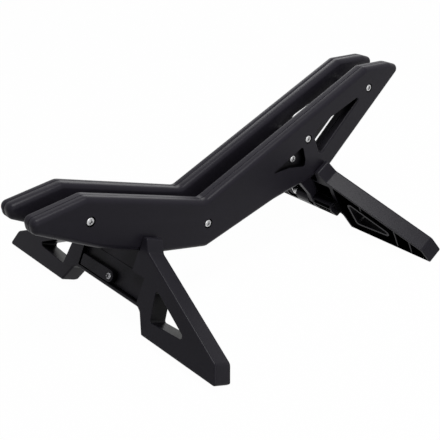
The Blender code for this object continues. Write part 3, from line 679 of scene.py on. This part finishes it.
def leg_moulding(side):
    horn = (0.0427, 0.0566, 0.0030), (HORN_INNER, 0.0566, 0.0030), (HORN_INNER, HUB_TOP[side], 0.003)
    wing = *ARCH[side], *WING_END
    half = *wing, WING_SHOULDER, *horn
    outline = half + both_ways(half)[1]
    leg = slab(side + "_leg", [outline], SMOOTH_FACE, RIBBED_FACE + 0.01, FLAT_ON, 0.0022)
    cut(leg, block("behind", (RIBBED_FACE, -1, -1), (1, 1, 1)))
    round_rim(leg, lambda co: co.x > RIBBED_FACE - 0.00001, 0.0006, 2)
    inner = (RECESS_HALF, ARCH_TOP, 0.001), *wing, (RECESS_HALF, 0.0399, 0.001)
    for shape, window in zip(both_ways(inner), both_ways(LEG_WINDOW)):
        cut(leg, wing_hollow(shape, window))
        cut(leg, slab("window", [window], SMOOTH_FACE - 0.005, RIBBED_FACE + 0.005, FLAT_ON))
    round_rim(leg, lambda co: co.x < SMOOTH_FACE + 0.00001, 0.0010, 3)
    block_shape = (
        (RIBBED_FACE - 0.001, ARCH_TOP + 0.0003, 0),
        (0.0021, ARCH_TOP + 0.0003, 0.003),
        (BARREL, -BARREL * 0.6, 0.006),
        (BARREL, BARREL, BARREL * 0.95),
        (RIBBED_FACE - 0.001, BARREL, 0),
    )
    hub_half = RECESS_HALF - 0.0003
    cut(leg, slab("hub_block", [block_shape], -hub_half, hub_half, ACROSS, 0.0006), operation="UNION")
    web = SMOOTH_FACE + RECESS_DEPTH
    cut(leg, block("recess", (-0.05, -RECESS_HALF, RECESS_SPAN[0]), (web, RECESS_HALF, RECESS_SPAN[1])))
    upper_low = (-0.05, -HORN_INNER, UPPER_RECESS_FOOT)
    cut(leg, block("upper_recess", upper_low, (SMOOTH_FACE + UPPER_RECESS_DEPTH, HORN_INNER, 0.1)))
    cut(leg, *[block("lug_slot", (LUG_SLOT_FRONT, low, LUG_SLOT_FOOT), (0.05, high, 0.05))
               for low, high in LUG_SLOTS])
    cut(leg, *[block("bay", (web + LEG_WALL, low, BAY_FOOT), (0.05, high, HUB_TOP[side] - LEG_WALL))
               for low, high in (*OUTER_BAYS, *INNER_BAYS)])
    cut(leg, *[block("groove", (RIBBED_FACE + LEG_WALL, low, ARCH_TOP + LEG_WALL), (0.05, high, GROOVE_TOP))
               for low, high in OUTER_BAYS])
    cut(leg, *[block("rib_gap", (RIB_GAP_FLOOR, low, foot), (0.05, high, foot + RIB_GAP_HEIGHT))
               for low, high in OUTER_BAYS for foot in RIB_GAP_FEET])
    cut(leg, rod_shape("rod_bore", (0, 0), ROD_BORE, -RECESS_HALF - 0.0003, RECESS_HALF + 0.0003))
    cut(leg, stud("insert_place", INSERT_PLACE_RADIUS, web - 0.001, web + INSERT_PLACE_DEPTH))
    to_leg(leg, side)
    cut(leg, block("ground", (-1, -1, -0.1), (1, 1, 0)))
    return leg


leg_black = plastic("leg_black", (0.0088, 0.0081, 0.0112), (0.0130, 0.0121, 0.0162), 0.34)
for side in ("left", "right"):
    leg = leg_moulding(side)
    soften(leg)
    dress(leg, leg_black, side + "_leg", side + "_leg_frame")

# Hub covers
# A black cover lies in the recess of each hub, seen through the leg's smooth face. A raised bar runs
# along it from its one screw, with a rounded end about the screw, and it is hollow behind.
COVER_BACK = -0.0194
COVER_FRONT = -0.0219
COVER_SHAPE = (
    (-0.0573, -0.0155, 0.002),
    (0.0573, -0.0155, 0.002),
    (0.0573, 0.0138, 0.002),
    (-0.0573, 0.0138, 0.002),
)
COVER_HEAD_PLACE = 0.0046
COVER_BORE = 0.0028
COVER_HEAD_SINK = 0.0010
BAR_WALL = 0.0025
BAR_FACE = -0.0287
BAR_SHAPE = (
    (-0.0073, -0.0148, 0.0071),
    (0.0546, -0.0148, 0.0020),
    (0.0546, -0.0002, 0.0020),
    (-0.0073, -0.0002, 0.0071),
)


def hub_cover(side):
    cover = slab(side + "_cover", [COVER_SHAPE], COVER_FRONT, COVER_BACK, FLAT_ON, 0.0006)
    cut(cover, slab("bar", [BAR_SHAPE], BAR_FACE, COVER_BACK - 0.0012, FLAT_ON, 0.0008), operation="UNION")
    low, high = BAR_SHAPE[1], BAR_SHAPE[2]
    cut(cover, block("bar_hollow", (BAR_FACE + BAR_WALL, -BAR_SHAPE[0][0], low[1] + BAR_WALL),
                     (0, high[0] - BAR_WALL, high[1] - BAR_WALL)))
    cut(cover, stud("head_place", COVER_HEAD_PLACE, -0.04, BAR_FACE + COVER_HEAD_SINK))
    cut(cover, stud("shank_place", COVER_BORE, -0.04, 0))
    to_leg(cover, side)
    return cover


for side in ("left", "right"):
    cover = hub_cover(side)
    soften(cover)
    dress(cover, leg_black, side + "_leg", side + "_hub_cover")

# Hub screws and inserts
# One smaller pan-head screw holds each cover. It turns into a brass insert with a straight knurl,
# which is pressed into the hub's web behind the cover.
ONTO_HUB = Matrix.Translation((0, 0, COVER_SCREW_UP)) @ Matrix.Rotation(-math.pi / 2, 4, "Z")
INSERT_SPAN = (-0.0188, -0.0108)
INSERT_RADIUS = 0.0037
INSERT_BORE = 0.00265
KNURL_DEPTH = 0.94
HUB_HEAD = (0.0040, 0.0020)
HUB_SHANK = 0.0024
HUB_SEAT = -0.02785
HUB_TIP = -0.0121


def in_groove(vertex):
    """Whether a point of the insert's rim lies in a groove of the knurl."""
    turn = math.degrees(math.atan2(vertex.co.z - COVER_SCREW_UP, vertex.co.y))
    return round(turn / 6) % 2


def knurled_insert(name):
    middle = sum(INSERT_SPAN) / 2
    insert = stud(name, INSERT_RADIUS, *INSERT_SPAN, 60)
    bpy.ops.object.mode_set(mode="EDIT")
    bpy.ops.mesh.select_mode(type="VERT")
    pick(insert, "verts", in_groove)
    bpy.ops.transform.resize(value=(1, KNURL_DEPTH, KNURL_DEPTH), center_override=(middle, 0, COVER_SCREW_UP))
    bpy.ops.object.mode_set(mode="OBJECT")
    cut(insert, stud("bore", INSERT_BORE, -0.03, 0))
    return insert


# Painted shade: the cover screws' zinc is a darker copy of the cross screws' zinc, standing for the shade of
# the hub recess they sit in.
shaded_hub_zinc = metal("hub_screw_zinc", (0.16, 0.16, 0.17), (0.30, 0.30, 0.31), 0.36)
brass = metal("insert_brass", (0.52, 0.36, 0.12), (0.78, 0.58, 0.24), 0.34)
for side in ("left", "right"):
    screw = cross_screw(side + "_cover_screw", (0, 0), HUB_SEAT, HUB_TIP, HUB_HEAD, HUB_SHANK)
    soften(screw)
    to_leg(screw, side, ONTO_HUB)
    dress(screw, shaded_hub_zinc, side + "_leg", side + "_hub_screw")
    insert = knurled_insert(side + "_insert")
    soften(insert)
    to_leg(insert, side)
    dress(insert, brass, side + "_leg", side + "_hub_insert")

# Hinge rods
# A plain ground steel rod, 6 mm thick, runs through each hub's knuckles and the rails' tongues. Its
# ends are chamfered and stop inside the hub.
ROD_RADIUS = 0.0030
ROD_HALF = 0.055
rod_steel = metal("hinge_rod_steel", (0.46, 0.46, 0.47), (0.66, 0.66, 0.66), 0.28, (1, 0.05, 1))
for side in ("left", "right"):
    rod = rod_shape(side + "_rod", (0, 0), ROD_RADIUS, -ROD_HALF, ROD_HALF, 48)
    round_rim(rod, lambda co: True, 0.0006, 1)
    soften(rod)
    to_leg(rod, side)
    dress(rod, rod_steel, side + "_leg", side + "_hinge_rod")

# Leg springs
# A bright steel torsion spring of three turns sits on each hinge rod beside one tongue. One straight
# arm stands up along the tongue and the other lies down on the hub.
SPRING_COIL = 0.0050
SPRING_WIRE = 0.00055
SPRING_SPAN = (-0.01465, -0.00845)
SPRING_ARM = 0.0100
ARM_ROOT = 0.0020
COIL_STEPS = 72


def wound_spring(name):
    first, last = SPRING_SPAN
    route = [(SPRING_COIL, first, SPRING_ARM), (SPRING_COIL, first, ARM_ROOT)]
    for step in range(COIL_STEPS + 1):
        turn = -math.radians(15 * step)
        along = first + (last - first) * step / COIL_STEPS
        route.append((SPRING_COIL * math.cos(turn), along, SPRING_COIL * math.sin(turn)))
    route += [(SPRING_COIL, last, -ARM_ROOT), (SPRING_COIL, last, -SPRING_ARM)]
    curve = bpy.data.curves.new(name, "CURVE")
    curve.dimensions = "3D"
    curve.bevel_depth = SPRING_WIRE
    curve.bevel_resolution = 3
    curve.use_fill_caps = True
    spline = curve.splines.new("POLY")
    spline.points.add(len(route) - 1)
    for point, place in zip(spline.points, route):
        point.co = (*place, 1)
    spring = to_mesh(name, curve)
    close_seams(spring)
    return spring


spring_steel = metal("spring_wire", (0.62, 0.62, 0.63), (0.86, 0.86, 0.86), 0.26)
for side in ("left", "right"):
    spring = wound_spring(side + "_spring")
    soften(spring)
    to_leg(spring, side)
    dress(spring, spring_steel, side + "_leg", side + "_leg_spring")

# Studio
# A white floor that runs into a white surround, seen as white by the camera and in reflections. A soft
# lamp behind on the right lights the rails' round edges, one overhead lights the legs' upper edges and
# one in front lifts the near faces. The camera stands at the photograph's angle.
def studio_lamp(name, place, aim, size, power):
    deselect()
    bpy.ops.object.light_add(type="AREA", location=place)
    lamp = bpy.context.object
    lamp.name = name
    lamp.data.shape = "RECTANGLE"
    lamp.data.size, lamp.data.size_y = size
    lamp.data.energy = power
    lamp.rotation_euler = (Vector(aim) - Vector(place)).to_track_quat("-Z", "Y").to_euler()


studio_lamp("key_lamp", (1.2, 1.3, 1.0), (0, 0, 0.1), (1.0, 1.0), 7.5)
studio_lamp("top_lamp", (-0.1, -0.25, 1.6), (0.1, 0, 0.1), (0.7, 0.7), 25)
studio_lamp("fill_lamp", (-0.3, -1.7, 0.7), (0, 0, 0.1), (0.8, 0.8), 7.5)
deselect()
bpy.ops.mesh.primitive_plane_add(size=30, location=(0, 0, -0.0006))
floor = bpy.context.object
floor.name = "studio_floor"


def seen_rays(finish):
    """1 on rays that come straight from the camera, a reflection or a clear piece, and 0 on the rest."""
    camera_ray, glossy_ray, clear_ray = (finish.node("ShaderNodeLightPath", {}, output="Is %s Ray" % kind)
                                         for kind in ("Camera", "Glossy", "Transmission"))
    return camera_ray + glossy_ray + clear_ray


class Surround(Finish):
    """The world's own shader, filled in as a finish is."""

    def __init__(self, world):
        world.use_nodes = True
        self.tree = world.node_tree
        self.shader = self.tree.nodes["Background"]


paper = Finish("white_floor", Base_Color=(0.6, 0.6, 0.6, 1), Roughness=0.9)
glow = paper.node("ShaderNodeEmission", {}, (1, 1, 1, 1), 1.0)
lit = Wire(paper, paper.shader.outputs[0])
shown = paper.node("ShaderNodeMixShader", {}, seen_rays(paper) * 0.985, lit, glow)
paper.tree.links.new(shown.socket, paper.tree.nodes["Material Output"].inputs["Surface"])
floor.data.materials.append(paper.material)
bpy.context.scene.world = bpy.context.scene.world or bpy.data.worlds.new("studio")
sky = Surround(bpy.context.scene.world)
sky.shader.inputs["Color"].default_value = (1, 1, 1, 1)
sky.feed(Strength=sky.node("ShaderNodeMapRange", {}, seen_rays(sky), To_Min=0.08, To_Max=1.0))
deselect()
bpy.ops.object.camera_add(location=(-0.65003, -0.68606, 0.55630))
camera = bpy.context.object
camera.name = "studio_camera"
camera.data.lens = 67.11
camera.data.sensor_width = 36
camera.data.clip_start = 0.05
azimuth, drop = math.radians(42.886), math.radians(28.323)
camera.rotation_euler = (math.pi / 2 - drop, 0, -azimuth)
bpy.context.scene.camera = camera
bpy.context.scene.view_settings.view_transform = "Standard"
